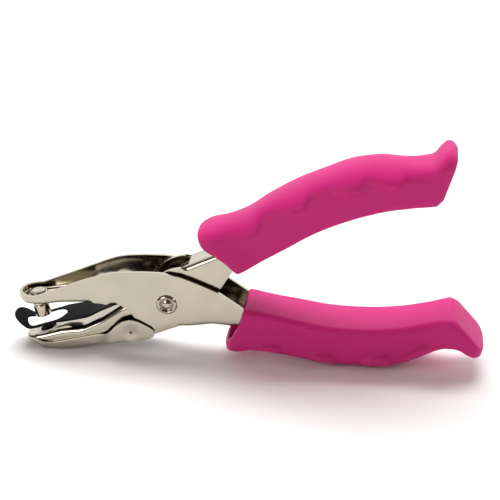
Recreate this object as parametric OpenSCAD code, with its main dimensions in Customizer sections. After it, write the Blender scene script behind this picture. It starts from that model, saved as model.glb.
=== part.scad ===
// Hand plier corner rounder: two stamped levers crossed on one rivet, a punch
// pin over a die, a slotted guide plate, a swing-down chip catcher, soft grips.
// X runs along the tool with the jaws at -X, Y is the width, Z is up.
// Side outlines are drawn about the hinge axis, then lifted onto the bench.

/* [Hinge] */
// Height of the hinge axis above the bench
pivot_z = 21.1; // [20.9:0.1:21.6]
// Distance of the hinge axis from the middle of the tool's length
pivot_x = -25.8; // [-27:0.1:-24]
// Angle that the levers close through
close_angle = 7.6; // [6:0.1:7.6]
// Radius of the rivet shank
rivet_r = 2.2; // [1.8:0.1:2.4]
// Outer radius of the rolled rivet end
roll_r = 3.7; // [3.2:0.1:4.2]
// Running clearance of the die lever on the rivet
rivet_play = 0.06; // [0.03:0.01:0.1]

/* [Sheet metal] */
// Thickness of the lever sheet
sheet_t = 1.2; // [0.9:0.1:1.4]
// Width of the punch lever over its body
body_w = 15.2; // [14.8:0.1:15.6]
// Width of the punch lever over its jaw
jaw_w = 12.6; // [12:0.1:13.2]
// Width of the die lever
die_w = 11.4; // [10.8:0.1:11.4]

/* [Punch and die] */
// Radius of the pin's cutting end
punch_r = 2.8; // [2.4:0.1:3]
// Radius of the pin's shank
shank_r = 2.5; // [2.2:0.1:2.6]
// Lean of the pin at rest
pin_lean = 10; // [8:0.5:11]
// Radial clearance of the pin in the die
die_play = 0.15; // [0.1:0.01:0.2]
// Outer radius of the die ring
die_ring_r = 4; // [3.7:0.1:4.1]

/* [Guide plate] */
// Thickness of the guide plate
guide_t = 0.6; // [0.5:0.1:0.8]
// Width of the guide plate
guide_w = 12.6; // [12:0.1:13]
// Width of the slot round the pin
slot_w = 9; // [7.5:0.5:10]

/* [Chip catcher] */
// Thickness of the catcher sheet
tray_t = 0.7; // [0.5:0.1:0.8]
// Radius of the pins that the catcher swings on
hinge_pin_r = 1.1; // [0.9:0.1:1.3]

/* [Grips] */
// Opening angle between the two handles at rest
handle_angle = 24.1; // [23:0.1:25]
// Radial gap between a grip and its steel tang
grip_gap = 0.1; // [0.05:0.05:0.2]

/* [Hidden] */
$fn = 64;

nickel = "Gainsboro";
steel = "DarkGray";
black = "DimGray";
pink = "DeepPink";

big = 60;                          // reach of a cutting solid
body_in = body_w / 2 - sheet_t;    // half the gap between the body walls
jaw_in = jaw_w / 2 - sheet_t;
die_in = die_w / 2 - sheet_t;
punch_nose_x = -47.7;              // centres of the two rounded noses
die_nose_x = -46.6;
jaw_web_end = -28;                 // where the upper jaw's web stops
tang_web_start = 3.5;              // where the lower handle's web starts
tang_end = 80;
tail_shift = [1.6, 2.75];         // moves the mirrored tail onto the upper lever
tip = [-46, -10.5];                // centre of the pin's cutting face at rest
jaw_slope = pin_lean + close_angle;
die_mouth = [tip.x * cos(close_angle) - tip.y * sin(close_angle) - sin(jaw_slope),
             tip.x * sin(close_angle) + tip.y * cos(close_angle) + cos(jaw_slope)];
seat_z = -4;                       // underside of the upper jaw at the pin
pin_len = (seat_z - tip.y) / cos(pin_lean);
hinge = [-12.9, -11.6];            // axis of the chip catcher
ear_in = body_w / 2 + 0.2;         // inner face of the catcher's ears
tray_in = die_w / 2 + 0.25;        // inner face of the catcher's front walls
rivet_spots = [[-12, 2.3], [-12, -2.3]];
coil_r = 4.4;                      // spring: mean coil radius, wire radius, turns
wire_r = 0.5;
turns = 5;

// In an outline a corner [x, y, r] becomes an arc of radius r.
function flat2(p) = [p[0], p[1]];
function fillet(a, b, c, r) =
    let (u = (a - b) / norm(a - b), v = (c - b) / norm(c - b),
         half = acos(max(-1, min(1, u * v))) / 2,
         mid = (u + v) / norm(u + v) * r / sin(half),
         p = u * r / tan(half) - mid, q = v * r / tan(half) - mid, n = 6)
    [for (i = [0:n]) let (w = p * (1 - i / n) + q * (i / n)) b + mid + w / norm(w) * r];
function rounded(pts) = [
    for (i = [0:len(pts) - 1])
        let (b = pts[i], n = len(pts))
        each (b[2] == undef ? [b]
              : fillet(flat2(pts[(i + n - 1) % n]), flat2(b), flat2(pts[(i + 1) % n]), b[2]))];
function arc(x, r, from, to) = [
    for (i = [0:16]) let (t = from + (to - from) * i / 16) [x + r * cos(t), r * sin(t)]];

// Turns a point of the lower tail, mirrored, onto the upper lever.
function to_upper(p) = [
    cos(handle_angle) * p[0] - sin(handle_angle) * p[1] + tail_shift[0],
    sin(handle_angle) * p[0] + cos(handle_angle) * p[1] + tail_shift[1]];
function with_r(p, r) = [p[0], p[1], r];

// Steel tail inside a grip: x along the tool, y away from the other handle.
tail_edge = [[31, 2.7], [38, 5.6], [52, 8.2], [tang_end - 2, 9]];
tail_web = [[tang_end, 11], [tang_end, 14.2], [60, 14], [44, 11.8]];

module on_bench() { translate([pivot_x, 0, pivot_z]) children(); }
module across(w) { rotate([90, 0, 0]) translate([0, 0, -w / 2]) linear_extrude(w) children(); }
module pin_y(r, y0, y1, x = 0, z = 0) {
    translate([x, y1, z]) rotate([90, 0, 0]) cylinder(r = r, h = y1 - y0);
}
module both_sides() { children(); mirror([0, 1, 0]) children(); }

// Top view of a channel: round nose, jaw half-width a, body half-width b.
module plan(nose_x, a, b, flare_x0, flare_x1) {
    polygon(concat(arc(nose_x, a, 90, 270), [[flare_x0, -a], [flare_x1, -b],
        [tang_end + 5, -b], [tang_end + 5, b], [flare_x1, b], [flare_x0, a]]));
}

// ---- punch lever: upper jaw and lower handle ----
punch_top = [[-56, -0.8], [-47, -0.6, 4], [-18, 11.8, 18], [5, 12, 24], [28, -0.4, 3]];
punch_bottom = [[24, -7.4], [16, -7.2, 10], [8, -8.6, 4], [2.7, -8.9, 4], [-6.4, -12.8, 1.5],
                [-13.6, -3.2], [-16, -1.4, 1], [-18.7, 0.4, 2.2], [-21.3, -2.2, 0.6],
                [-30, -1.9, 20], [-38, -2.6, 20], [-46, seat_z, 8], [-52.4, -4.2, 3.2],
                [-55.5, -0.5]];

module punch_outline() {
    polygon(rounded(concat(punch_top,
        [for (p = tail_edge) [p[0], -p[1]]], [for (p = tail_web) [p[0], -p[1]]], punch_bottom)));
}
module punch_hollow() {
    lift = sheet_t;
    polygon([[-56, 0 + lift - 3.6], [-46, seat_z + lift], [-38, -2.6 + lift], [-30, -1.9 + lift],
             [jaw_web_end, -1.9 + lift], [jaw_web_end, -big], [tang_web_start, -big],
             [tang_web_start, -8.8 + lift], [8, -8.6 + lift], [16, -7.3 + lift],
             [24, -7.4 + lift], [44, -11.8 + lift], [60, -14 + lift],
             [tang_end + 3, -14.2 + lift], [tang_end + 3, big], [-56, big]]);
}
module punch_frame() {
    color(nickel) on_bench() difference() {
        intersection() {
            across(body_w + 1) punch_outline();
            translate([0, 0, -big]) linear_extrude(2 * big)
                plan(punch_nose_x, jaw_w / 2, body_w / 2, -29, -14);
        }
        intersection() {
            across(body_w) punch_hollow();
            translate([0, 0, -big]) linear_extrude(2 * big)
                plan(punch_nose_x, jaw_in, body_in, -29, -14);
        }
        pin_y(rivet_r, -big, big);
        along_pin() translate([0, 0, -big / 2]) cylinder(r = shank_r - 0.6, h = big / 1.5);
    }
}

// Frame whose origin is the pin's cutting face, with +Z up along the pin.
module along_pin() { translate([tip.x, 0, tip.y]) rotate([0, -pin_lean, 0]) children(); }

module punch_pin() {
    neck = pin_len - 0.4;
    head = pin_len + 2.4;
    color(steel) on_bench() along_pin() {
        difference() {
            cylinder(r = punch_r, h = 4.5);
            rotate([90, 0, 0]) translate([0, 0, -big / 2])
                linear_extrude(big) polygon([[-2, -0.1], [0, 0.7], [2, -0.1]]);
        }
        translate([0, 0, 4.5]) cylinder(r = shank_r, h = neck - 4.5);
        translate([0, 0, neck]) cylinder(r = shank_r - 0.6, h = 3.2);
        translate([0, 0, head]) cylinder(r1 = 3, r2 = 2.3, h = 0.9);
    }
}

module pin_washer() {
    color(nickel) on_bench() along_pin() translate([0, 0, pin_len + 2]) difference() {
        cylinder(r = 3.4, h = 0.4);
        translate([0, 0, -1]) cylinder(r = shank_r - 0.6, h = 3);
    }
}

module pivot_rivet() {
    half = body_w / 2;
    color(steel) on_bench() difference() {
        union() {
            pin_y(rivet_r, -half, half);
            pin_y(roll_r, -half - 0.9, -half);
            translate([0, half, 0]) rotate([-90, 0, 0]) cylinder(r1 = 4.2, r2 = 2.6, h = 1.3);
        }
        pin_y(1.5, -half - 2, -half + 4);
    }
}

module pivot_bush() {
    color(steel) on_bench() difference() {
        pin_y(3.2, -die_in + 0.1, die_in - 0.1);
        pin_y(rivet_r + rivet_play, -big, big);
    }
}

module side_washers() {
    color(steel) on_bench() both_sides() difference() {
        pin_y(4.5, die_w / 2 + 0.05, body_in);
        pin_y(rivet_r, 0, big);
    }
}

// Torsion spring: a ribbed sleeve stands for the helix, one leg bears on each web.
module return_spring() {
    pitch = 2 * wire_r + 0.06;
    start = -pitch * (turns - 1) / 2;
    color(steel) on_bench() {
        rotate([90, 0, 0]) rotate_extrude($fn = 48) {
            for (i = [0:turns - 1]) translate([coil_r, start + i * pitch])
                circle(r = wire_r, $fn = 16);
            translate([coil_r - 0.2, start]) square([0.4, pitch * (turns - 1)]);
        }
        translate([0, start, -coil_r]) rotate([0, 97.2, 0])
            cylinder(r = wire_r - 0.06, h = 13, $fn = 16);
        translate([-coil_r * sin(37), -start, coil_r * cos(37)]) rotate([0, 53, 0])
            cylinder(r = wire_r - 0.06, h = 16.5, $fn = 16);
    }
}

// ---- grips: one moulding, mirrored and turned for the upper handle ----
// Stations: x, inner face, outer face, half-width.
stations = [[16, 0.2, 18.7, 10.3], [30, 1.2, 17.6, 10.8], [46, 4.1, 19.4, 11.5],
            [62, 6.4, pivot_z, 11.7], [76, 5.6, pivot_z, 11.6], [90, 1.6, 15.8, 11],
            [97, 0.2, 12.6, 10.5], [107.5, 12, 15.4, 9]];

module slice(s) {
    x = s[0]; low = s[1]; high = s[2]; w = s[3]; round_h = min(5, (high - low) / 2.2);
    side = [[1, high], [w - 4, high - 1.2], [w, high - round_h],
            [w, low + 1.2], [w - 1.5, low + 0.3], [1, low]];
    translate([x, 0, 0]) rotate([90, 0, 90]) linear_extrude(0.02)
        polygon(concat(side, [for (i = [len(side) - 1:-1:0]) [-side[i][0], side[i][1]]]));
}
module grip(tang_w) {
    difference() {
        for (i = [0:len(stations) - 2]) hull() { slice(stations[i]); slice(stations[i + 1]); }
        translate([26.6, 0, 0.9]) rotate([0, -24.5, 0]) translate([-big, -big, -big])
            cube([big, 2 * big, 2 * big]);
        across(tang_w + 2 * grip_gap) polygon(concat([[15, -3], [26.8, -0.5]],
            [for (p = tail_edge) [p[0] - grip_gap, p[1] - grip_gap]],
            [[tang_end + 0.3, 9], [tang_end + 0.3, 14.3 + grip_gap], [60, 14 + grip_gap],
             [44, 11.8 + grip_gap], [20, 8.7], [10, 8.7]]));
    }
}
module lower_grip() { color(pink) on_bench() mirror([0, 0, 1]) grip(body_w); }
module upper_grip() {
    color(pink) on_bench() translate([tail_shift.x, 0, tail_shift.y])
        rotate([0, -handle_angle, 0]) grip(die_w);
}

// ---- die lever: lower jaw and upper handle ----
web_front = [die_mouth.x - 9 * cos(jaw_slope), die_mouth.y - 9 * sin(jaw_slope)];
web_bend = [die_mouth.x + 7 * cos(jaw_slope), die_mouth.y + 7 * sin(jaw_slope)];
tab_front = [-15.5, -2.6];         // the guide plate lies on the web from here
tab_rear = [-8.6, -0.5];
top_bend = [16.3, 18.4];           // crest of the upper handle's web
wall_low = [[-6.4, -12.2], [-15, -14.2], [-36, -18.9], [-46, -19.8], [-49, -20.5], [-54, -20.8]];

module die_outline() {
    polygon(rounded(concat(
        [web_front, with_r(web_bend, 12), [-31, -12.4, 6], with_r(tab_front, 4),
         tab_rear, [-6.6, 6.2, 6], [-1.5, 12.6, 5], [6.8, 13.8], top_bend],
        [for (i = [len(tail_web) - 1:-1:0]) to_upper(tail_web[i])],
        [for (i = [len(tail_edge) - 1:-1:0]) to_upper(tail_edge[i])],
        [[22.6, 13.3], [18.3, 5.6], [9, -4, 5], [3.2, -6.3, 1], [3.2, -8.3, 0.6], [-2.6, -10.7]],
        wall_low)));
}
module die_hollow() {
    t = sheet_t;
    polygon(concat(
        [[-60, -big], [-60, web_front.y - t - 2.7], [web_front.x, web_front.y - t * 1.05],
         [web_bend.x, web_bend.y - t * 1.05], [-31, -12.4 - t * 1.1],
         [tab_front.x + 0.4, tab_front.y - t], [tab_rear.x, tab_rear.y - t],
         [tab_rear.x, big], [6.8, big], [6.8, 13.8 - t]],
        [[top_bend.x, top_bend.y - t * 1.1]],
        [for (p = [[44, 11.8], [60, 14], [tang_end + 3, 14.2]]) to_upper([p[0], p[1] - t])],
        [[tang_end, -big]]));
}
module die_plan(a) {
    polygon(concat(arc(die_nose_x, a, 90, 270), [[big * 2, -a], [big * 2, a]]));
}
// Frame whose origin is the die mouth, with +Z up out of the die.
module at_die() { translate([die_mouth.x, 0, die_mouth.y]) rotate([0, -jaw_slope, 0]) children(); }

module die_frame() {
    color(nickel) on_bench() difference() {
        intersection() {
            across(die_w + 1) die_outline();
            translate([0, 0, -big]) linear_extrude(2.5 * big) die_plan(die_w / 2);
        }
        intersection() {
            across(die_w) die_hollow();
            translate([0, 0, -big]) linear_extrude(2.5 * big) die_plan(die_in);
        }
        pin_y(rivet_r + rivet_play, -big, big);
        pin_y(hinge_pin_r, -big, big, hinge.x, hinge.y);
        at_die() translate([0, 0, -5]) cylinder(r = die_ring_r, h = 10);
        for (s = rivet_spots) translate([s[0], s[1], -10]) cylinder(r = 0.9, h = 20);
    }
}

module die_ring() {
    color(steel) on_bench() at_die() translate([0, 0, -2.6]) difference() {
        cylinder(r = die_ring_r, h = 2.6);
        translate([0, 0, -1]) cylinder(r = punch_r + die_play, h = 5);
    }
}

module guide_side() {
    n = guide_t;
    tab_a = tab_front; tab_b = tab_rear;
    polygon(rounded(concat(
        [[-56.2, -11.2 + n], [-50, -14.2 + n, 5], [-38.5, -10 + n, 14], [-26, -6.6 + n, 10],
         [tab_a.x - 0.3, tab_a.y + n + 0.1, 3], [tab_b.x - 0.2, tab_b.y + n + 0.02]],
        [[tab_b.x - 0.2, tab_b.y], [tab_a.x + 1.2, tab_a.y + 0.38],
         [tab_a.x - 0.3, tab_a.y + 0.15, 3], [-26, -6.6, 10], [-38.5, -10, 14], [-50, -14.2, 6],
         [-56.2, -11.2]])));
}
module guide_plan() {
    half = guide_w / 2;
    difference() {
        polygon(concat(arc(-50.2, half - 0.6, 90, 270),
            [[-39.5, -half + 0.6], [-38.5, -half], [-29.5, -half], [-24.5, -4.9], [-15, -4], [-8, -4],
             [-8, 4], [-15, 4], [-24.5, 4.9], [-29.5, half], [-38.5, half], [-39.5, half - 0.6]]));
        polygon(concat(arc(-47.6, slot_w / 2, 90, 270), arc(-41.8, slot_w / 2, -90, 90)));
    }
}
module guide_plate() {
    color(black) on_bench() difference() {
        intersection() {
            across(guide_w + 1) guide_side();
            translate([0, 0, -big]) linear_extrude(2 * big) guide_plan();
        }
        for (s = rivet_spots) translate([s[0], s[1], -10]) cylinder(r = 0.9, h = 20);
    }
}

module guide_rivets() {
    z = -1.5;
    color(steel) on_bench() for (s = rivet_spots) translate([s[0], s[1], z]) {
        translate([0, 0, -2]) cylinder(r = 0.9, h = 4.4);
        translate([0, 0, 1.2]) cylinder(r1 = 1.7, r2 = 1.1, h = 0.8);
        translate([0, 0, -2.6]) cylinder(r1 = 1.1, r2 = 1.6, h = 0.9);
    }
}

// ---- chip catcher ----
tray_wall = [[-48, -17.3], [-44.5, -18.6, 2], [-40, -18.4, 6], [-22.4, -13.6, 1.5],
             [-17.2, -7.4, 2], [-12.8, -5.6, 4], [-5.4, -9.4, 2.5], [-4.4, -12.6, 1],
             [-14, -15.1], [-37.5, -21.1, 3], [-46, -21.1, 2.5], [-48, -18.5]];
module tray_plan(a, b) {
    polygon([[-48, a], [-24, a], [-20.5, b], [0, b], [0, -b], [-20.5, -b], [-24, -a], [-48, -a]]);
}
module chip_catcher() {
    color(nickel) on_bench() difference() {
        intersection() {
            across(body_w + 8) polygon(rounded(tray_wall));
            translate([0, 0, -big]) linear_extrude(2 * big)
                tray_plan(tray_in + tray_t, ear_in + tray_t);
        }
        intersection() {
            across(body_w + 8) polygon([[-60, -21.1 + tray_t], [-37.5, -21.1 + tray_t],
                [-16, -15.6 + tray_t], [-15.4, -big], [big, -big], [big, big], [-60, big]]);
            translate([-1, 0, -big]) linear_extrude(2 * big) tray_plan(tray_in, ear_in);
        }
        pin_y(hinge_pin_r + 0.05, -big, big, hinge.x, hinge.y);
    }
}

module catcher_pins() {
    color(steel) on_bench() both_sides() {
        pin_y(hinge_pin_r, die_in - 0.4, ear_in + tray_t, hinge.x, hinge.y);
        pin_y(hinge_pin_r + 0.8, die_w / 2, ear_in - 0.1, hinge.x, hinge.y);
    }
}

punch_frame();
punch_pin();
pin_washer();
pivot_rivet();
pivot_bush();
side_washers();
return_spring();
lower_grip();
die_frame();
die_ring();
guide_plate();
guide_rivets();
catcher_pins();
upper_grip();
chip_catcher();
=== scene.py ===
import math

import bmesh
import bpy
import numpy as np
from mathutils import Matrix, Vector


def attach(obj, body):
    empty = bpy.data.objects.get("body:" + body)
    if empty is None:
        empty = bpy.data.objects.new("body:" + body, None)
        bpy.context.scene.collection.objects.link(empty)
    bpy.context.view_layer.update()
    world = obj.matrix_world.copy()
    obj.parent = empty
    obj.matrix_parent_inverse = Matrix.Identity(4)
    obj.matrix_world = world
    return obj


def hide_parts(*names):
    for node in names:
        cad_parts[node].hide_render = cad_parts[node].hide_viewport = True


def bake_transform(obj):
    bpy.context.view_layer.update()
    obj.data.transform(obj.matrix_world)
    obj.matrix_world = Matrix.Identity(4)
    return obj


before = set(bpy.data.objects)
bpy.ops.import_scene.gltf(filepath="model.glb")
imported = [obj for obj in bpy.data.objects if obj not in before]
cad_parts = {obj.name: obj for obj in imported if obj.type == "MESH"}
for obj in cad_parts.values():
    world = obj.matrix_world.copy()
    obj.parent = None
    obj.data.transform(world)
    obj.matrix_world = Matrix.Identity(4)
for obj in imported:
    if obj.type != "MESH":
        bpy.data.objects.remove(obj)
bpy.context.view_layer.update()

# ------------------------------------------------------------------ camera
# A long lens a little to the right of the tool's middle and well above it,
# so that both grips, the jaw's inside and the near plate are all in view.
PIVOT = Vector((-0.0258, 0.0, 0.0211))       # the hinge axis in the row frame
camera = bpy.data.objects.new("camera", bpy.data.cameras.new("camera"))
bpy.context.scene.collection.objects.link(camera)
camera.data.sensor_width = 36
camera.data.lens = 104.4
camera.data.clip_start = 0.01
right = Vector((0.9927, 0.1204, -0.0031))
up = Vector((-0.0500, 0.4355, 0.8988))
ahead = Vector((-0.1095, 0.8921, -0.4384))
stand = Matrix.Translation(PIVOT + Vector((0.0824, -0.4423, 0.2362)))
camera.matrix_world = stand @ Matrix((right, up, -ahead)).transposed().to_4x4()
bpy.context.scene.camera = camera
bpy.context.scene.view_settings.view_transform = "Standard"

# ------------------------------------------------------------------ stage and light
# A white sweep of paper under the tool, a big soft lamp over its back that
# the steel doesn't mirror, two weaker ones, and a sky that is dark low down
# in front so that the plated steel has something to reflect.


def add_mesh(name, verts, faces):
    """A mesh object from vertices in metres."""
    mesh = bpy.data.meshes.new(name)
    mesh.from_pydata([tuple(v) for v in verts], [], faces)
    mesh.update()
    made = bpy.data.objects.new(name, mesh)
    bpy.context.scene.collection.objects.link(made)
    return made


def new_material(name):
    """A node material, its node tree and its Principled shader."""
    made = bpy.data.materials.new(name)
    made.use_nodes = True
    return made, made.node_tree, made.node_tree.nodes["Principled BSDF"]


REACH = 6                                    # metres of paper on every side
floor = add_mesh("floor", [(-REACH, -REACH, 0), (REACH, -REACH, 0), (REACH, REACH, 0),
                           (-REACH, REACH, 0)], [(0, 1, 2, 3)])
floor_paint, _, floor_shader = new_material("floor_paper")
floor_shader.inputs["Base Color"].default_value = (0.90, 0.90, 0.90, 1)
floor_shader.inputs["Roughness"].default_value = 0.9
floor_shader.inputs["Specular IOR Level"].default_value = 0.1
floor.data.materials.append(floor_paint)

LIT = Vector((0, 0, 0.02))                   # the lamps are turned towards the tool's middle


def lamp(name, spot, size, power):
    """A rectangular area lamp at spot, in metres and watts."""
    light = bpy.data.lights.new(name, "AREA")
    light.shape = "RECTANGLE"
    light.size, light.size_y = size
    light.energy = power
    made = bpy.data.objects.new(name, light)
    made.location = spot
    made.rotation_euler = (LIT - Vector(spot)).to_track_quat("-Z", "Y").to_euler()
    bpy.context.scene.collection.objects.link(made)
    return made


over = lamp("over", (-0.05, 0.30, 0.80), (0.8, 0.45), 7.5)
over.visible_glossy = False
lamp("front", (-0.55, -0.75, 0.50), (0.5, 0.5), 3.2)
lamp("side", (0.80, -0.20, 0.45), (0.3, 0.3), 1.0)


def set_tones(node, tones):
    """Gives a colour ramp its (position, colour) stops."""
    stops = node.color_ramp.elements
    for stop, (position, colour) in zip(stops, (tones[0], tones[-1])):
        stop.position = position
        stop.color = (*colour, 1)
    for position, colour in tones[1:-1]:
        stops.new(position).color = (*colour, 1)


world = bpy.data.worlds.new("world")
bpy.context.scene.world = world
world.use_nodes = True
sky = world.node_tree
where = sky.nodes.new("ShaderNodeTexCoord")
height = sky.nodes.new("ShaderNodeVectorMath")
height.operation = "DOT_PRODUCT"
height.inputs[1].default_value = (0, 0.92, 0.39)
sky_tones = sky.nodes.new("ShaderNodeValToRGB")
set_tones(sky_tones, [(0.0, (0.13, 0.085, 0.07)), (0.42, (0.22, 0.17, 0.15)),
                      (0.72, (1.0, 1.0, 1.0)), (0.97, (1.5, 1.5, 1.5))])
sky.links.new(where.outputs["Generated"], height.inputs[0])
sky.links.new(height.outputs["Value"], sky_tones.inputs[0])
sky.links.new(sky_tones.outputs[0], sky.nodes["Background"].inputs[0])
sky.nodes["Background"].inputs[1].default_value = 1.0

# ------------------------------------------------------------------ punch frame
# The upper jaw and the lower handle are one steel blank, 1.2 mm thick, folded
# into a channel and bright nickel plated. It is the body that all else hangs
# on; its nose is drawn round like a spoon and its tail runs into the grip.


def at(x, y, z):
    """A point in millimetres about the hinge axis, in row metres."""
    return (PIVOT.x + x / 1000, y / 1000, PIVOT.z + z / 1000)


def line(points, soft=0.8):
    """A height along x through the points, its corners softened over soft millimetres."""
    margin, per_mm = 4, 10
    xs, zs = zip(*points)
    grid = np.arange(xs[0] - margin, xs[-1] + margin, 1 / per_mm)
    reach = round(2 * soft * per_mm)
    kernel = np.hanning(2 * reach + 1)
    kernel /= kernel.sum()
    level = np.pad(np.interp(grid, xs, zs), reach, mode="edge")
    level = np.convolve(level, kernel, mode="valid")
    return lambda x: float(np.interp(x, grid, level))


def step(x, start, end):
    """0 before start, 1 after end and a smooth rise between."""
    t = min(1.0, max(0.0, (x - start) / (end - start)))
    return t * t * (3 - 2 * t)


def spans(x, ranges, fade):
    """1 inside any of the ranges, falling to 0 over the fade outside them."""
    best = 0.0
    for low, high in ranges:
        away = max(low - x, x - high, 0.0)
        best = max(best, 1 - min(1.0, away / fade))
    return step(best, 0, 1)


def skin(stations, count, closed=False, keep=lambda i, k: True):
    """Quads between neighbouring stations of count points each, where keep allows them."""
    faces = []
    for i in range(stations - 1):
        for k in range(count if closed else count - 1):
            if keep(i, k):
                a, beside = i * count + k, i * count + (k + 1) % count
                faces.append((a, a + count, beside + count, beside))
    return faces


def channel(name, nose, tail, width, wall_edge, web_edge, web_at, bend, wall_rows):
    """A folded channel: walls round a plan with a round nose, a web where web_at says.

    width, wall_edge and web_edge are functions of x. The web lies on the web_edge side."""
    spacing, nose_steps, arc_rows, web_rows = 0.75, 22, 6, 5
    fade, least_bend = 2.5, 0.12
    xs = np.arange(tail, nose, -spacing)
    nose_r = width(nose)
    path = [(x, width(x), x) for x in xs]    # each: the wall's plan point, then its spine's x
    for i in range(nose_steps + 1):
        a = math.pi / 2 + math.pi * i / nose_steps
        path.append((nose + nose_r * math.cos(a), nose_r * math.sin(a), nose))
    path += [(x, -width(x), x) for x in xs[::-1]]
    verts = []
    for x, y, spine in path:
        reach = math.hypot(x - spine, y)
        ux, uy = (spine - x) / reach, -y / reach
        side = 1 if web_edge(x) > wall_edge(x) else -1
        wall = abs(web_edge(x) - wall_edge(x))
        r = max(least_bend, bend * spans(x, web_at, fade))
        r = min(r, wall * 0.55, reach * 0.8)                 # it has to fit the wall and the web
        free, bent = wall_edge(x), web_edge(x) - side * r
        for k in range(wall_rows + 1):
            verts.append(at(x, y, free + (bent - free) * k / wall_rows))
        for k in range(1, arc_rows + 1):
            a = math.pi / 2 * k / arc_rows
            inset = r * (1 - math.cos(a))
            px, py = x + ux * inset, y + uy * inset
            verts.append(at(px, py, web_edge(px) - side * r * (1 - math.sin(a))))
        for k in range(1, web_rows + 1):
            inset = r + (reach - r) * k / web_rows
            px, py = x + ux * inset, y + uy * inset
            verts.append(at(px, py, web_edge(px)))

    def is_steel(i, k):
        """The walls all along, the bend as far as it fades out, the web only where it is."""
        mid = (path[i][0] + path[i + 1][0]) / 2
        webbed = any(low <= mid <= high for low, high in web_at)
        flanged = spans(mid, web_at, fade) > 0.01
        return k < wall_rows or webbed or (flanged and k < wall_rows + arc_rows)

    return add_mesh(name, verts, skin(len(path), wall_rows + arc_rows + web_rows + 1,
                                      keep=is_steel))


def clean(made, merge=0.0, sliver=0.0):
    """Joins points closer than merge, drops slivers and turns the faces outwards."""
    work = bmesh.new()
    work.from_mesh(made.data)
    if merge:
        bmesh.ops.remove_doubles(work, verts=work.verts, dist=merge)
    if sliver:
        bmesh.ops.dissolve_degenerate(work, edges=work.edges, dist=sliver)
    loose = [v for v in work.verts if not v.link_faces]
    bmesh.ops.delete(work, geom=loose, context="VERTS")
    bmesh.ops.recalc_face_normals(work, faces=work.faces)
    work.to_mesh(made.data)
    work.free()


def shade(made, crease):
    """Smooth shading between edges sharper than crease degrees."""
    made.data.shade_smooth()
    made.data.set_sharp_from_angle(angle=math.radians(crease))


def finish_sheet(made, stock, rim, rim_steps=2, cutters=()):
    """Gives a skin its stock thickness inwards, cuts its holes and rounds its rims."""
    clean(made, merge=2e-5, sliver=1e-6)
    solid = made.modifiers.new("solid", "SOLIDIFY")
    solid.thickness = stock / 1000
    solid.offset = -1
    solid.use_quality_normals = True
    for cutter in cutters:
        cut = made.modifiers.new("cut", "BOOLEAN")
        cut.operation = "DIFFERENCE"
        cut.object = cutter
        cut.solver = "EXACT"
    edge = made.modifiers.new("edge", "BEVEL")
    edge.width = rim / 1000
    edge.segments = rim_steps
    edge.limit_method = "ANGLE"
    edge.angle_limit = math.radians(50)
    edge.use_clamp_overlap = True
    bpy.context.view_layer.update()
    graph = bpy.context.evaluated_depsgraph_get()
    mesh = bpy.data.meshes.new_from_object(made.evaluated_get(graph))
    mesh.name = made.name
    made.modifiers.clear()
    made.data = mesh
    shade(made, 50)
    for cutter in cutters:
        bpy.data.objects.remove(cutter)


def add_noise(tree, scale, detail, grain=None):
    """A noise in the piece's own space, drawn out where a grain is given."""
    place_in = tree.nodes.new("ShaderNodeTexCoord").outputs["Object"]
    if grain:
        stretch = tree.nodes.new("ShaderNodeMapping")
        stretch.inputs["Scale"].default_value = grain
        tree.links.new(place_in, stretch.inputs["Vector"])
        place_in = stretch.outputs[0]
    noise = tree.nodes.new("ShaderNodeTexNoise")
    noise.inputs["Scale"].default_value = scale
    noise.inputs["Detail"].default_value = detail
    tree.links.new(place_in, noise.inputs["Vector"])
    return noise.outputs["Fac"]


def add_colour(tree, shader, noise, low, high):
    """A base colour that drifts between two (noise level, colour) tones."""
    tone = tree.nodes.new("ShaderNodeValToRGB")
    set_tones(tone, [low, high])
    tree.links.new(noise, tone.inputs[0])
    tree.links.new(tone.outputs[0], shader.inputs["Base Color"])


def add_polish(tree, shader, noise, bright, dull, levels=(0.0, 1.0)):
    """A roughness from bright to dull as the noise runs through its levels."""
    polish = tree.nodes.new("ShaderNodeMapRange")
    polish.inputs["From Min"].default_value, polish.inputs["From Max"].default_value = levels
    polish.inputs["To Min"].default_value = bright
    polish.inputs["To Max"].default_value = dull
    tree.links.new(noise, polish.inputs["Value"])
    tree.links.new(polish.outputs[0], shader.inputs["Roughness"])


def add_relief(tree, shader, noise, strength, distance):
    """A fine relief on the surface, distance in metres."""
    relief = tree.nodes.new("ShaderNodeBump")
    relief.inputs["Strength"].default_value = strength
    relief.inputs["Distance"].default_value = distance
    tree.links.new(noise, relief.inputs["Height"])
    tree.links.new(relief.outputs[0], shader.inputs["Normal"])


def steel_finish(name, colour, rough, relief, grain=None):
    """Plated or bare steel: faint cloudiness, hairline scratches, uneven polish."""
    made, tree, shader = new_material(name)
    shader.inputs["Metallic"].default_value = 1.0
    cloud = add_noise(tree, scale=90, detail=4)
    hairlines = add_noise(tree, scale=1500, detail=3, grain=grain)
    add_colour(tree, shader, cloud, (0.3, [c * 0.90 for c in colour]), (0.7, colour))
    add_polish(tree, shader, hairlines, rough * 0.75, rough * 1.3, (0.3, 0.7))
    add_relief(tree, shader, hairlines, relief, distance=0.0002)
    return made


def place(made, material, body, node):
    """Gives a finished piece its material and its body, and hides the CAD node it stands for."""
    made.data.materials.clear()
    made.data.materials.append(material)
    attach(made, body)
    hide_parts(node)


LEVER_STOCK = 1.15
nickel = steel_finish("nickel_plate", (0.49, 0.45, 0.365), rough=0.12, relief=0.03,
                      grain=(1, 0.08, 1))

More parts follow.
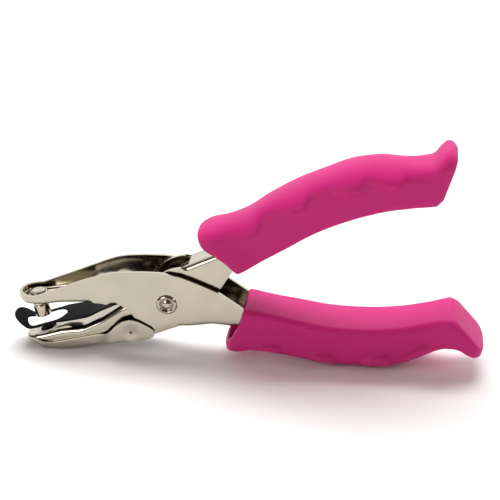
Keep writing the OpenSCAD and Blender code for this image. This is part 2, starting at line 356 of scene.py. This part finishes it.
punch_upper = line([(-56, -0.8), (-48, -0.7), (-46.2, -0.3), (-41.6, 1.7), (-37.9, 3.2),
                    (-30.7, 6.4), (-23, 9.5), (-19.4, 10.7), (-15.8, 11.3), (-8.8, 11.8),
                    (-1.9, 11.9), (5, 10.7), (11.8, 8.1), (18.3, 5.3), (22.1, 2.7),
                    (24.6, 1.0), (27.2, -0.9), (29, -2.9), (38, -6), (52, -8.2),
                    (62, -8.6)], 0.9)
punch_lower = line([(-56, -3.9), (-50, -4.1), (-44.5, -3.9), (-38, -2.7), (-31, -2.2),
                    (-27, -1.7), (-23.4, -1.5), (-21.3, -1.9), (-20.2, -0.9), (-18.8, -0.5),
                    (-17.4, -0.9), (-16, -1.8), (-13.6, -3.2), (-6.6, -12.6), (-5.1, -12.2),
                    (-2.6, -11.2), (2.7, -8.9), (8, -8.6), (15.7, -7.3), (21.3, -7.7),
                    (24, -7.5), (44, -11.8), (62, -14)], 0.5)
punch_width = line([(-60, 6.3), (-29, 6.3), (-23, 7.0), (-14, 7.6), (-10, 7.6), (64, 7.6)], 3.0)
punch_frame = channel("punch_frame_plate", -47.7, 62, punch_width, punch_upper, punch_lower,
                      web_at=[(-60, -28), (4.5, 70)], bend=1.9, wall_rows=7)
finish_sheet(punch_frame, LEVER_STOCK, 0.38, 4)
place(punch_frame, nickel, "punch_lever", "punch_frame")

# ------------------------------------------------------------------ punch pin
# A turned, hardened steel pin whose upper end is peened over a washer inside
# the upper jaw. Its cutting end is a little wider than the shank and ground
# to a shallow vee, so that it starts its cut at two edges.
PIN_LEAN = math.radians(10)
PIN_TIP = (-46.0, -10.5)
VEE_DEPTH, VEE_HALF = 0.75, 2.6


def turned(name, outline, put, steps=56):
    """A lathed piece: outline is (radius, height) from the bottom, put takes it to the row."""
    verts = []
    for r, h in outline:
        for i in range(steps):
            a = 2 * math.pi * i / steps
            verts.append(put(r * math.cos(a), r * math.sin(a), h))
    made = add_mesh(name, verts, skin(len(outline), steps, closed=True))
    clean(made, merge=1e-6)
    shade(made, 38)
    return made


def rounded_outline(corners, segments=4):
    """(radius, height, fillet) corners as a lathe outline with each corner rounded."""
    out = []
    for i, (r, h, f) in enumerate(corners):
        if f <= 0 or i in (0, len(corners) - 1):
            out.append((r, h))
            continue
        here = np.array((r, h))
        to_a = np.array(corners[i - 1][:2]) - here
        to_b = np.array(corners[i + 1][:2]) - here
        f = min(f, np.linalg.norm(to_a) * 0.48, np.linalg.norm(to_b) * 0.48)
        a = here + to_a / np.linalg.norm(to_a) * f
        b = here + to_b / np.linalg.norm(to_b) * f
        for k in range(segments + 1):
            t = k / segments
            out.append(tuple((1 - t) ** 2 * a + 2 * t * (1 - t) * here + t * t * b))
    return out


def on_pin(x, y, h):
    """A point in the pin's own frame: h runs up its axis from the cutting face."""
    return at(PIN_TIP[0] + x * math.cos(PIN_LEAN) - h * math.sin(PIN_LEAN), y,
              PIN_TIP[1] + x * math.sin(PIN_LEAN) + h * math.cos(PIN_LEAN))


def on_vee_pin(x, y, h):
    """As on_pin, with the cutting face ground to a shallow vee."""
    if h < 0.02:
        h += VEE_DEPTH * max(0.0, 1 - abs(x) / VEE_HALF)
    return on_pin(x, y, h)


pin_steel = steel_finish("pin_steel", (0.50, 0.44, 0.36), rough=0.16, relief=0.05,
                         grain=(1, 1, 0.1))
pin = turned("punch_pin_turned", rounded_outline([
    (0, 0, 0), (1.0, 0, 0), (2.0, 0, 0), (2.62, 0, 0.02), (2.8, 0.14, 0.05), (2.8, 4.2, 0.2),
    (2.5, 4.75, 0.3), (2.5, 6.35, 0.1), (1.9, 6.4, 0.05), (1.9, 8.95, 0.1), (2.9, 9.0, 0.3),
    (2.85, 9.5, 0.4), (1.7, 9.95, 0.5), (0.7, 9.75, 0.3), (0, 9.7, 0)]), on_vee_pin)
place(pin, pin_steel, "punch_lever", "punch_pin")

# ------------------------------------------------------------------ pin washer
# A plain round washer, stamped from thin steel and nickel plated. It lies on
# the jaw's web, held there by the pin's peened head.
washer = turned("pin_washer_ring", rounded_outline([
    (2.0, 8.45, 0), (3.3, 8.45, 0.1), (3.5, 8.6, 0.1), (3.5, 8.85, 0.1), (3.3, 9.0, 0.1),
    (2.0, 9.0, 0), (2.0, 8.45, 0)]), on_pin)
place(washer, nickel, "punch_lever", "pin_washer")

# ------------------------------------------------------------------ pivot rivet
# A steel rivet through both channels, the shaft that the levers turn on. Its
# far side has a low domed head; the near end is rolled outwards into a ring
# round a small dome.


def on_pivot(x, y, h):
    """A point in the hinge's own frame: h runs along the axis towards the near side."""
    return at(x, -h, y)


rivet_steel = steel_finish("rivet_steel", (0.46, 0.42, 0.35), rough=0.13, relief=0.08)
rivet = turned("pivot_rivet_rolled", rounded_outline([
    (0, -8.85, 0), (1.6, -8.8, 0.5), (3.4, -8.35, 0.8), (4.2, -7.6, 0.2), (2.2, -7.55, 0.1),
    (2.2, 7.55, 0.05), (3.5, 7.56, 0.05), (3.7, 7.65, 0.1), (3.4, 8.2, 0.4), (2.75, 8.5, 0.5),
    (2.25, 8.1, 0.3), (1.95, 7.55, 0.3), (1.55, 8.0, 0.5), (0.8, 8.4, 0.5), (0, 8.45, 0)]),
    on_pivot)
place(rivet, rivet_steel, "punch_lever", "pivot_rivet")

# ------------------------------------------------------------------ pivot bush
# A plain steel sleeve, cut from tube, that turns on the rivet between the
# die lever's walls. It keeps them apart, and the spring is wound over it.
bush = turned("pivot_bush_sleeve", rounded_outline([
    (2.28, -4.4, 0), (3.05, -4.4, 0.1), (3.2, -4.25, 0.1), (3.2, 4.25, 0.1), (3.05, 4.4, 0.1),
    (2.28, 4.4, 0), (2.28, -4.4, 0)]), on_pivot)
place(bush, rivet_steel, "die_lever", "pivot_bush")

# ------------------------------------------------------------------ side washers
# Two thin stamped steel washers, threaded on the rivet. One on each side
# takes up the gap between the nested channels.
for name, faces_at in (("side_washer_far", (-6.38, -5.76)), ("side_washer_near", (5.76, 6.38))):
    low, high = faces_at
    ring = turned(name, rounded_outline([
        (2.25, low, 0), (4.4, low, 0.1), (4.5, low + 0.1, 0.05), (4.5, high - 0.1, 0.05),
        (4.4, high, 0.1), (2.25, high, 0), (2.25, low, 0)]), on_pivot)
    place(ring, rivet_steel, "punch_lever", "side_washers")

# ------------------------------------------------------------------ die frame
# The lower jaw and the upper handle: a second folded channel, nested inside
# the first and turned over, open in the middle where the spring sits. Its
# nose is rounder than the upper jaw's and is bored for the hardened die.
CLOSE = math.radians(7.6)                    # how far the levers turn to close
JAW_SLOPE = PIN_LEAN + CLOSE                 # so the die meets the pin square when closed
PIN_ENTRY = 1.0                              # how far the closed pin stands in the die
HANDLE = math.radians(24.1)                  # how the upper handle's outline is turned
HANDLE_SHIFT = (1.6, 2.75)                   # and moved, from the lower handle's mirror image
MOUTH = (PIN_TIP[0] * math.cos(CLOSE) - PIN_TIP[1] * math.sin(CLOSE)
         - PIN_ENTRY * math.sin(JAW_SLOPE),
         PIN_TIP[0] * math.sin(CLOSE) + PIN_TIP[1] * math.cos(CLOSE)
         + PIN_ENTRY * math.cos(JAW_SLOPE))


def to_upper(x, y):
    """A point of a handle's own outline, placed on the upper lever."""
    return (x * math.cos(HANDLE) - y * math.sin(HANDLE) + HANDLE_SHIFT[0],
            x * math.sin(HANDLE) + y * math.cos(HANDLE) + HANDLE_SHIFT[1])


def on_die(x, y, h):
    """A point in the die's own frame: h runs up out of its mouth."""
    return at(MOUTH[0] + x * math.cos(JAW_SLOPE) - h * math.sin(JAW_SLOPE), y,
              MOUTH[1] + x * math.sin(JAW_SLOPE) + h * math.cos(JAW_SLOPE))


def by_mouth(x):
    """A point on the line of the die's mouth, x behind its middle."""
    return (MOUTH[0] + x * math.cos(JAW_SLOPE), MOUTH[1] + x * math.sin(JAW_SLOPE))


die_web = line([by_mouth(-11), by_mouth(7), (-31, -12.4), (-24.3, -8.9), (-20.6, -6.3),
                (-15.5, -2.6), (-9.4, -0.75), (-8.4, 2), (-7.6, 4.9), (-5.7, 7.7),
                (-3.5, 9.8), (-0.6, 11.7), (2.4, 12.9), (7, 13.9), (11.8, 16.3),
                (16.3, 18.4), to_upper(28, 8.8), to_upper(44, 11.8), to_upper(60, 14),
                to_upper(72, 14)], 0.7)
die_free = line([(-56, -18.8), (-50, -19.1), (-46, -19.6), (-36, -18.9), (-15, -14.2),
                 (-6.4, -12.2), (-2.6, -10.7), (2.9, -8.4), (3.5, -6.4), (9, -4.3), (17.5, 4.5),
                 (23.4, 14.1), to_upper(31, 2.9), to_upper(38, 5.6), to_upper(52, 8.2),
                 to_upper(72, 9)], 0.35)
die_width = line([(-60, 5.7), (60, 5.7)])
DIE_HOLE_R = 4.02
die_hole = turned("die_hole_cutter", [(0, -6), (DIE_HOLE_R, -6), (DIE_HOLE_R, 6), (0, 6)], on_die)
die_frame = channel("die_frame_plate", -46.6, 50, die_width, die_free, die_web,
                    web_at=[(-60, -9.6), (7, 70)], bend=2.0, wall_rows=8)
finish_sheet(die_frame, LEVER_STOCK, 0.3, 4, [die_hole])
place(die_frame, nickel, "die_lever", "die_frame")

# ------------------------------------------------------------------ die ring
# A hardened, ground steel ring pressed into the lower jaw's web. The pin
# enters its bore and the cut corner drops through it into the catcher.
die_steel = steel_finish("die_steel", (0.50, 0.49, 0.47), rough=0.20, relief=0.05,
                         grain=(1, 1, 0.2))
die = turned("die_ring_ground", rounded_outline([
    (2.95, -2.6, 0), (3.8, -2.6, 0.1), (4.0, -2.4, 0.1), (4.0, -0.12, 0.08), (3.85, 0.03, 0.05),
    (3.05, 0.03, 0.03), (2.95, -0.06, 0.03), (2.95, -2.6, 0)]), on_die)
place(die, die_steel, "die_lever", "die_ring")

# ------------------------------------------------------------------ guide plate
# A thin blackened spring-steel plate that floats over the lower jaw and
# strips the paper off the pin. It is slotted round the pin, its front lip is
# turned up to lead the sheet in, and its tail lies on the web.
GUIDE_STOCK = 0.6
GUIDE_TAIL, LIP_START, LIP_LENGTH, LIP_HALF = -8.7, -50.2, 6.1, 5.7
LIP_ALONG, LIP_ACROSS = 0.8, 0.85            # under 1, so the lip's front is squarer than an arc
SLOT_FRONT, SLOT_REAR, SLOT_R = -47.6, -41.8, 4.45
guide_height = line([(-58, -9.2), (-56.2, -10.45), (-50.4, -14.4), (-47, -13.5), (-44.8, -12.7),
                     (-42, -11.6), (-38.6, -10.5), (-31.2, -8.7), (-27.6, -7.7), (-24, -5.9),
                     (-20.3, -4.1), (-15.6, -2.2), (-8, 0.2)], 0.9)
guide_half = line([(-58, LIP_HALF), (-39.8, LIP_HALF), (-38.3, 6.3), (-29.5, 6.3), (-24.5, 4.9),
                   (-15, 4), (-7, 4)], 0.7)


def guide_sheet():
    """The plate's upper skin: strips from its outline in to the slot or the middle line."""
    spacing, lip_steps, cols = 0.7, 34, 6
    strips = []
    for x in np.arange(GUIDE_TAIL, SLOT_FRONT, -spacing):
        if x > SLOT_REAR + SLOT_R:
            inner = 0.0
        elif x > SLOT_REAR:
            inner = math.sqrt(max(0.0, SLOT_R ** 2 - (x - SLOT_REAR) ** 2))
        else:
            inner = SLOT_R
        strips.append(((x, guide_half(x)), (x, inner)))
    straight = SLOT_FRONT - LIP_START
    whole = straight + LIP_HALF * math.pi / 2
    for s in np.linspace(0, whole, lip_steps):
        a = math.pi / 2 * (1 + max(0.0, s - straight) / (whole - straight))
        b = math.pi / 2 * (1 + s / whole)
        outer = (SLOT_FRONT - s, LIP_HALF)
        if s >= straight:
            outer = (LIP_START - LIP_LENGTH * abs(math.cos(a)) ** LIP_ALONG,
                     LIP_HALF * math.sin(a) ** LIP_ACROSS)
        strips.append((outer, (SLOT_FRONT + SLOT_R * math.cos(b), SLOT_R * math.sin(b))))
    strips += [((ox, -oy), (ix, -iy)) for (ox, oy), (ix, iy) in strips[-2::-1]]
    verts = []
    for (ox, oy), (ix, iy) in strips:
        for k in range(cols + 1):
            x, y = ox + (ix - ox) * (k / cols), oy + (iy - oy) * (k / cols)
            verts.append(at(x, y, guide_height(x) + GUIDE_STOCK / 2))
    return add_mesh("guide_plate_sheet", verts, skin(len(strips), cols + 1))


def blackened():
    """Oil-blackened steel: near black, satin, worn a little by sliding paper."""
    made, tree, shader = new_material("blackened_steel")
    shader.inputs["Specular IOR Level"].default_value = 0.03
    wear = add_noise(tree, scale=260, detail=6)
    add_colour(tree, shader, wear, (0.35, (0.005, 0.006, 0.006)), (0.75, (0.014, 0.017, 0.017)))
    add_polish(tree, shader, wear, bright=0.38, dull=0.6)
    add_relief(tree, shader, wear, strength=0.08, distance=0.0002)
    return made


guide = guide_sheet()
finish_sheet(guide, GUIDE_STOCK, 0.1)
place(guide, blackened(), "die_lever", "guide_plate")

# ------------------------------------------------------------------ guide rivets
# Two small steel rivets that hold the guide plate's tail down. Each passes
# through the plate and the web, its round head on top.
WEB_TILT = math.atan2(1.9, 6.1)
RIVET_FOOT, RIVET_OFF = (-12, -1.1), 2.3
SIDES = (("near", -1), ("far", 1))


def on_web(side):
    """The frame of one rivet, square to the sloping web."""
    return lambda x, y, h: at(RIVET_FOOT[0] + x * math.cos(WEB_TILT) - h * math.sin(WEB_TILT),
                              side * RIVET_OFF + y,
                              RIVET_FOOT[1] + x * math.sin(WEB_TILT) + h * math.cos(WEB_TILT))


for name, side in SIDES:
    stud = turned(f"guide_rivet_{name}", rounded_outline([
        (0, -2.4, 0), (1.1, -2.3, 0.3), (1.6, -1.6, 0.1), (0.9, -1.5, 0.05), (0.9, 0.5, 0.05),
        (1.7, 0.55, 0.1), (1.5, 1.05, 0.3), (0.7, 1.35, 0.3), (0, 1.4, 0)]), on_web(side), 32)
    place(stud, rivet_steel, "die_lever", "guide_rivets")

# ------------------------------------------------------------------ catcher pins
# Two short stepped steel pins riveted into the die lever's walls. The
# catcher's ears spring over their ends and turn on them.
HINGE = (-12.9, -11.6)


def on_wall(side):
    """The frame of one catcher pin: h runs outwards from the middle."""
    return lambda x, y, h: at(HINGE[0] + x, side * h, HINGE[1] + y)


for name, side in SIDES:
    stud = turned(f"catcher_pin_{name}", rounded_outline([
        (0, 4.0, 0), (1.5, 4.0, 0.2), (1.5, 4.6, 0.1), (1.1, 4.6, 0.05), (1.1, 5.7, 0.05),
        (1.9, 5.75, 0.1), (1.9, 7.2, 0.1), (1.1, 7.25, 0.1), (1.1, 7.35, 0.1),
        (0, 7.35, 0)]), on_wall(side), 32)
    place(stud, rivet_steel, "die_lever", "catcher_pins")

# ------------------------------------------------------------------ chip catcher
# A thin plated tray, folded from sheet, under the lower jaw. Its ears are set
# outwards to clear the punch lever's plates and are dimpled over the pins, so
# that it swings down to tip the chips out.
TRAY_STOCK, TRAY_BEND = 0.68, 1.1
TRAY_FRONT, TRAY_FLOOR_END, TRAY_EAR_END = -47.6, -14.5, -4.4
DIMPLE_DEPTH, DIMPLE_R = 0.42, 3.1
tray_upper = line([(-49, -17.0), (-47, -17.4), (-44.9, -18.3), (-41.3, -18.3), (-38.3, -17.5),
                   (-22.2, -13.3), (-20.6, -11.9), (-18.2, -9.2), (-16, -7.5), (-12.8, -6.6),
                   (-10.4, -6.9), (-5.9, -9.2), (-4.7, -10.2), (-4.4, -11.4)], 0.8)
tray_lower = line([(-49, -17.6), (-47.8, -18.5), (-46.0, -20.6), (-44, -21.1), (-38.5, -21.1),
                   (-20.6, -16.9), (-6.4, -13.6), (-4.8, -12.6), (-4.4, -11.8)], 0.6)
tray_width = line([(-50, 6.65), (-24.4, 6.65), (-20.4, 8.5), (0, 8.5)], 0.9)


def tray_sheet():
    """Walls, floor and bends of the open-ended tray, section by section."""
    spacing, wall_rows, arc_rows, floor_rows = 0.5, 6, 5, 5
    xs = list(np.arange(TRAY_FRONT, TRAY_EAR_END, spacing))
    verts = []
    for x in xs:
        w, top, low = tray_width(x), tray_upper(x), tray_lower(x)
        r = min(TRAY_BEND if x < TRAY_FLOOR_END else 0.15, (top - low) * 0.5)
        half = []
        for k in range(wall_rows + 1):
            z = top + (low + r - top) * k / wall_rows
            off = math.hypot(x - HINGE[0], z - HINGE[1])
            half.append((w - DIMPLE_DEPTH * max(0.0, 1 - (off / DIMPLE_R) ** 2), z))
        for k in range(1, arc_rows + 1):
            a = math.pi / 2 * k / arc_rows
            half.append((w - r * (1 - math.cos(a)), low + r - r * math.sin(a)))
        for k in range(1, floor_rows + 1):
            half.append(((w - r) * (1 - k / floor_rows), low))
        section = half + [(-y, z) for y, z in half[-2::-1]]
        verts += [at(x, y, z) for y, z in section]
    count = len(section)

    def is_steel(i, k):
        """All of a section in front of the floor's end, behind it the two walls alone."""
        floored = (xs[i] + xs[i + 1]) / 2 < TRAY_FLOOR_END
        return floored or k < wall_rows or k >= count - 1 - wall_rows

    return add_mesh("chip_catcher_tray", verts, skin(len(xs), count, keep=is_steel))


tray_nickel = steel_finish("tray_nickel", (0.45, 0.41, 0.34), rough=0.15, relief=0.04,
                           grain=(1, 0.08, 1))
tray = tray_sheet()
EAR_HOLE_R = 0.55
ear_hole = turned("ear_hole_cutter", [(0, -12), (EAR_HOLE_R, -12), (EAR_HOLE_R, 12), (0, 12)],
                  on_wall(1), 24)
finish_sheet(tray, TRAY_STOCK, 0.1, cutters=[ear_hole])
place(tray, tray_nickel, "chip_catcher", "chip_catcher")

# ------------------------------------------------------------------ return spring
# A torsion spring of bright wire wound over the bush. One leg bears on the
# lower handle's web and the other under the upper handle's, so it opens the
# tool; it winds up as the handles close.
WIRE_R, COIL_R, PITCH, TURNS = 0.48, 4.4, 1.06, 4.6
COIL_STEPS = 260
COIL_FROM = math.radians(-90)
COIL_TO = math.radians(127) + 2 * math.pi * 4
LOWER_LEG, UPPER_LEG = math.radians(97.2), math.radians(53)      # each leg's way, from up


def tube(name, path, radius, sides=14):
    """A round wire along a path of points in tool millimetres."""
    path = [Vector(p) for p in path]
    verts = []
    normal = Vector((0, 1, 0.3))
    for i, p in enumerate(path):
        way = path[min(i + 1, len(path) - 1)] - path[max(i - 1, 0)]
        way.normalize()
        normal = (normal - way * normal.dot(way)).normalized()
        across = way.cross(normal)
        for k in range(sides):
            a = 2 * math.pi * k / sides
            verts.append(at(*(p + (normal * math.cos(a) + across * math.sin(a)) * radius)))
    faces = [(a, d, c, b) for a, b, c, d in skin(len(path), sides, closed=True)]
    faces.append(tuple(range(sides))[::-1])
    faces.append(tuple(range((len(path) - 1) * sides, len(path) * sides)))
    made = add_mesh(name, verts, faces)
    shade(made, 50)
    return made


def leg(foot, angle, lengths):
    """Points straight out from the coil's end, at the given lengths."""
    way = Vector((math.sin(angle), 0, math.cos(angle)))
    return [tuple(foot + way * s) for s in lengths]


coil = []
for i in range(COIL_STEPS + 1):
    a = COIL_FROM + (COIL_TO - COIL_FROM) * i / COIL_STEPS
    along = -PITCH * TURNS / 2 + PITCH * TURNS * i / COIL_STEPS
    coil.append((COIL_R * math.cos(a), along, COIL_R * math.sin(a)))
lower_leg = leg(Vector(coil[0]), LOWER_LEG, np.linspace(13, 0.4, 24))
upper_leg = leg(Vector(coil[-1]), UPPER_LEG, np.linspace(0.4, 16.5, 30))
spring_wire = steel_finish("spring_wire", (0.62, 0.58, 0.52), rough=0.2, relief=0.04)
spring = tube("return_spring_wire", lower_leg + coil + upper_leg, WIRE_R)
spring.data.materials.append(spring_wire)
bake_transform(spring)
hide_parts("return_spring")

# ------------------------------------------------------------------ lower grip
# A soft vinyl moulding pushed over the steel tail. Its inner face is nearly
# flat, the outer one crowned with four finger swells, the mouth is a thin
# lip round the steel, and the heel flares out to a flat end.

# Each station: inner point, outer point (along, away from the other handle), half-width.
GRIP = np.array([
    (26.9, 0.5, 19.7, 15.4, 9.8), (27.3, 0.1, 20.3, 17.6, 10.2), (28.8, 0.1, 22.5, 18.5, 10.3),
    (32.0, 0.5, 28.8, 17.9, 10.5), (37, 1.4, 35.5, 17.9, 10.8), (44.8, 2.7, 44, 19.3, 11.2),
    (55.3, 4.4, 55.3, 20.6, 11.5), (66, 4.8, 66.5, 21.0, 11.6), (75, 4.2, 76.5, 20.6, 11.5),
    (82, 3.1, 84.5, 17.9, 11.3), (88.5, 1.4, 91.5, 14.6, 11.0), (93.4, 0.1, 97.5, 12.4, 10.7),
    (95.6, -0.3, 101.2, 12.6, 10.55), (96.9, -0.5, 104.8, 14.4, 10.4),
    (97.5, -0.45, 107.0, 15.0, 10.2), (97.9, -0.3, 108.4, 14.2, 10.0),
    (98.1, -0.1, 109.0, 12.4, 9.7)])
# Each finger swell: where its middle is, how far below the crown it reaches.
SWELLS = ((36.5, 4.6), (55.2, 4.8), (74.8, 6.0), (87.6, 5.4))
SWELL_HEIGHT, WAIST = 2.1, 1.55              # the swells' height, the sides' draw-in between them
CREST, FOLD_R = 4.8, 2.4                     # the crown's rise, the inner face's edge radius
STATIONS = 170
MOUTH_HOLLOW, HOLLOW_STATIONS = 1.3, 18      # the mouth's rim is drawn back at its sides


def spline(rows, count):
    """Smoothly interpolated rows, evenly spaced by the outline's length."""
    run = np.concatenate([[0], np.cumsum(np.linalg.norm(np.diff(rows[:, :4], axis=0), axis=1))])
    slope = np.gradient(rows, run, axis=0)
    out = []
    for s in np.linspace(0, run[-1], count):
        i = min(len(run) - 2, max(0, int(np.searchsorted(run, s)) - 1))
        h = run[i + 1] - run[i]
        t = (s - run[i]) / h
        out.append((2 * t ** 3 - 3 * t ** 2 + 1) * rows[i] + (t ** 3 - 2 * t ** 2 + t) * h * slope[i]
                   + (3 * t ** 2 - 2 * t ** 3) * rows[i + 1] + (t ** 3 - t ** 2) * h * slope[i + 1])
    return np.array(out)


def swell(x, depth):
    """From 0 to 1, how far a finger swell stands out at x, depth millimetres below the crown."""
    shallow, full_above, edge = 3.0, 0.6, 1.6    # depth between two swells, then its lower end
    full, deep = max((step(x, c - 9.5, c - 0.5) * (1 - step(x, c + 1.8, c + 4.8)), d)
                     for c, d in SWELLS)
    deep = shallow + (deep - shallow) * full
    return full * min(1.0, depth / (deep - full_above)) * (1 - step(depth, deep, deep + edge))


def half_section(w, high, x):
    """(across, up) points from the middle of the inner face to the middle of the crown."""
    squarer = 0.25 * step(x, 90, 99)         # the crown squares up towards the heel
    fade = step(x, 14, 36) * (1 - step(x, 92, 105))
    crest = CREST * min(1.0, high / 12.5)    # and is lower where the grip is thin
    side = w - WAIST * fade
    bulge = 0.25                             # of the inner face's middle
    top = high - crest
    pts = [((side - FOLD_R) * k / 7, bulge * (k / 7) ** 2) for k in range(8)]
    for k in range(1, 9):
        a = math.pi / 2 * k / 8
        pts.append((side - FOLD_R + FOLD_R * math.sin(a), bulge + FOLD_R * (1 - math.cos(a))))
    for k in range(1, 15):
        pts.append((side, bulge + FOLD_R + (top - bulge - FOLD_R) * k / 14))
    for k in range(1, 21):
        a = math.pi / 2 * k / 20
        pts.append((side * math.cos(a) ** (0.86 - squarer), top + crest * math.sin(a) ** 0.97))
    return [(across + SWELL_HEIGHT * fade * swell(x, high - rise) * min(1.0, across / side), rise)
            for across, rise in pts]


def shrunk(ring, by, along=0.0, away=0.0):
    """A ring drawn in by so many millimetres and moved along and away."""
    middle = np.mean(np.array(ring), axis=0)
    out = []
    for p in np.array(ring):
        d = p - middle
        flat = math.hypot(d[1], d[2])
        scale = max(0.05, 1 - by / max(flat, 1e-6))
        out.append(tuple(middle + d * scale + np.array((along, 0, away))))
    return out


def grip(name, put, lip=0.0, rise=0.0):
    """The moulding as one closed skin; put places (along, across, away) in the row frame.

    lip draws the crown side of the mouth that much further forward; rise lifts the crown
    behind the fingers."""
    rows = GRIP.copy()
    rows[:5, 2] -= lip * np.array((1.0, 0.95, 0.75, 0.35, 0.1))
    rows[:5, 0] -= lip * np.array((0.42, 0.42, 0.36, 0.24, 0.1))
    rows[5:12, 3] += rise * np.array((0.4, 0.5, 0.4, 0.4, 1.0, 1.0, 0.8))
    rings = []
    for i, (ix, iy, ox, oy, w) in enumerate(spline(rows, STATIONS)):
        hollow = MOUTH_HOLLOW * max(0.0, 1 - i / HOLLOW_STATIONS) ** 2
        axis = np.array((ox - ix, oy - iy))
        high = np.linalg.norm(axis)
        axis /= high
        half = half_section(w, high, ox)
        ring = []
        for side, pts in ((1, half), (-1, half[-2:0:-1])):
            for across, lift in pts:
                t = lift / high
                x = ix + axis[0] * lift + hollow * 4 * t * (1 - t) * min(1.0, across / w)
                ring.append((x, side * across, iy + axis[1] * lift))
        rings.append(ring)
    mouth, heel = rings[0], rings[-1]
    cavity = [shrunk(rings[21], 2.3), shrunk(rings[11], 2.2), shrunk(rings[3], 2.0)]
    mouth_lip = [shrunk(mouth, by, along) for by, along in
                 ((1.85, 0.15), (1.6, -0.1), (1.0, -0.2), (0.45, -0.2), (0.12, -0.08))]
    end = [shrunk(heel, by, along, away) for by, along, away in
           ((0.25, 0.3, -0.2), (0.75, 0.55, -0.35), (1.4, 0.65, -0.4), (4.5, 0.65, -0.4))]
    rings = cavity + mouth_lip + rings + end
    count = len(mouth)
    verts = [put(*p) for ring in rings for p in ring]
    faces = skin(len(rings), count, closed=True)
    for ring in (0, len(rings) - 1):
        verts.append(put(*np.mean(np.array(rings[ring]), axis=0)))
        for k in range(count):
            a, b = ring * count + k, ring * count + (k + 1) % count
            faces.append((a, len(verts) - 1, b) if ring else (b, len(verts) - 1, a))
    made = add_mesh(name, verts, faces)
    clean(made)
    made.data.shade_smooth()
    return made


def vinyl(name):
    """Soft satin vinyl: a little light passes into it, with faint mould orange peel."""
    made, tree, shader = new_material(name)
    shader.inputs["Specular IOR Level"].default_value = 0.2
    shader.inputs["Subsurface Weight"].default_value = 0.15
    shader.inputs["Subsurface Radius"].default_value = (0.004, 0.001, 0.0015)
    shader.inputs["Subsurface Scale"].default_value = 1.0
    cloud = add_noise(tree, scale=35, detail=3)
    orange_peel = add_noise(tree, scale=1400, detail=2)
    add_colour(tree, shader, cloud, (0.3, (0.52, 0.016, 0.168)), (0.7, (0.57, 0.020, 0.190)))
    add_polish(tree, shader, cloud, bright=0.44, dull=0.58)
    add_relief(tree, shader, orange_peel, strength=0.12, distance=0.0001)
    return made


pink_vinyl = vinyl("pink_vinyl")
lower_grip = grip("lower_grip_moulding", lambda x, y, z: at(x, y, -z))
place(lower_grip, pink_vinyl, "punch_lever", "lower_grip")

# ------------------------------------------------------------------ upper grip
# The same soft vinyl moulding, turned over and pushed onto the upper handle.
# Its mouth reaches further forward and its back is a little higher.


def on_upper(x, y, z):
    """A point of the moulding, placed on the upper lever."""
    px, pz = to_upper(x, z)
    return at(px, y, pz)


upper_grip = grip("upper_grip_moulding", on_upper, lip=2.9, rise=1.1)
place(upper_grip, pink_vinyl, "die_lever", "upper_grip")
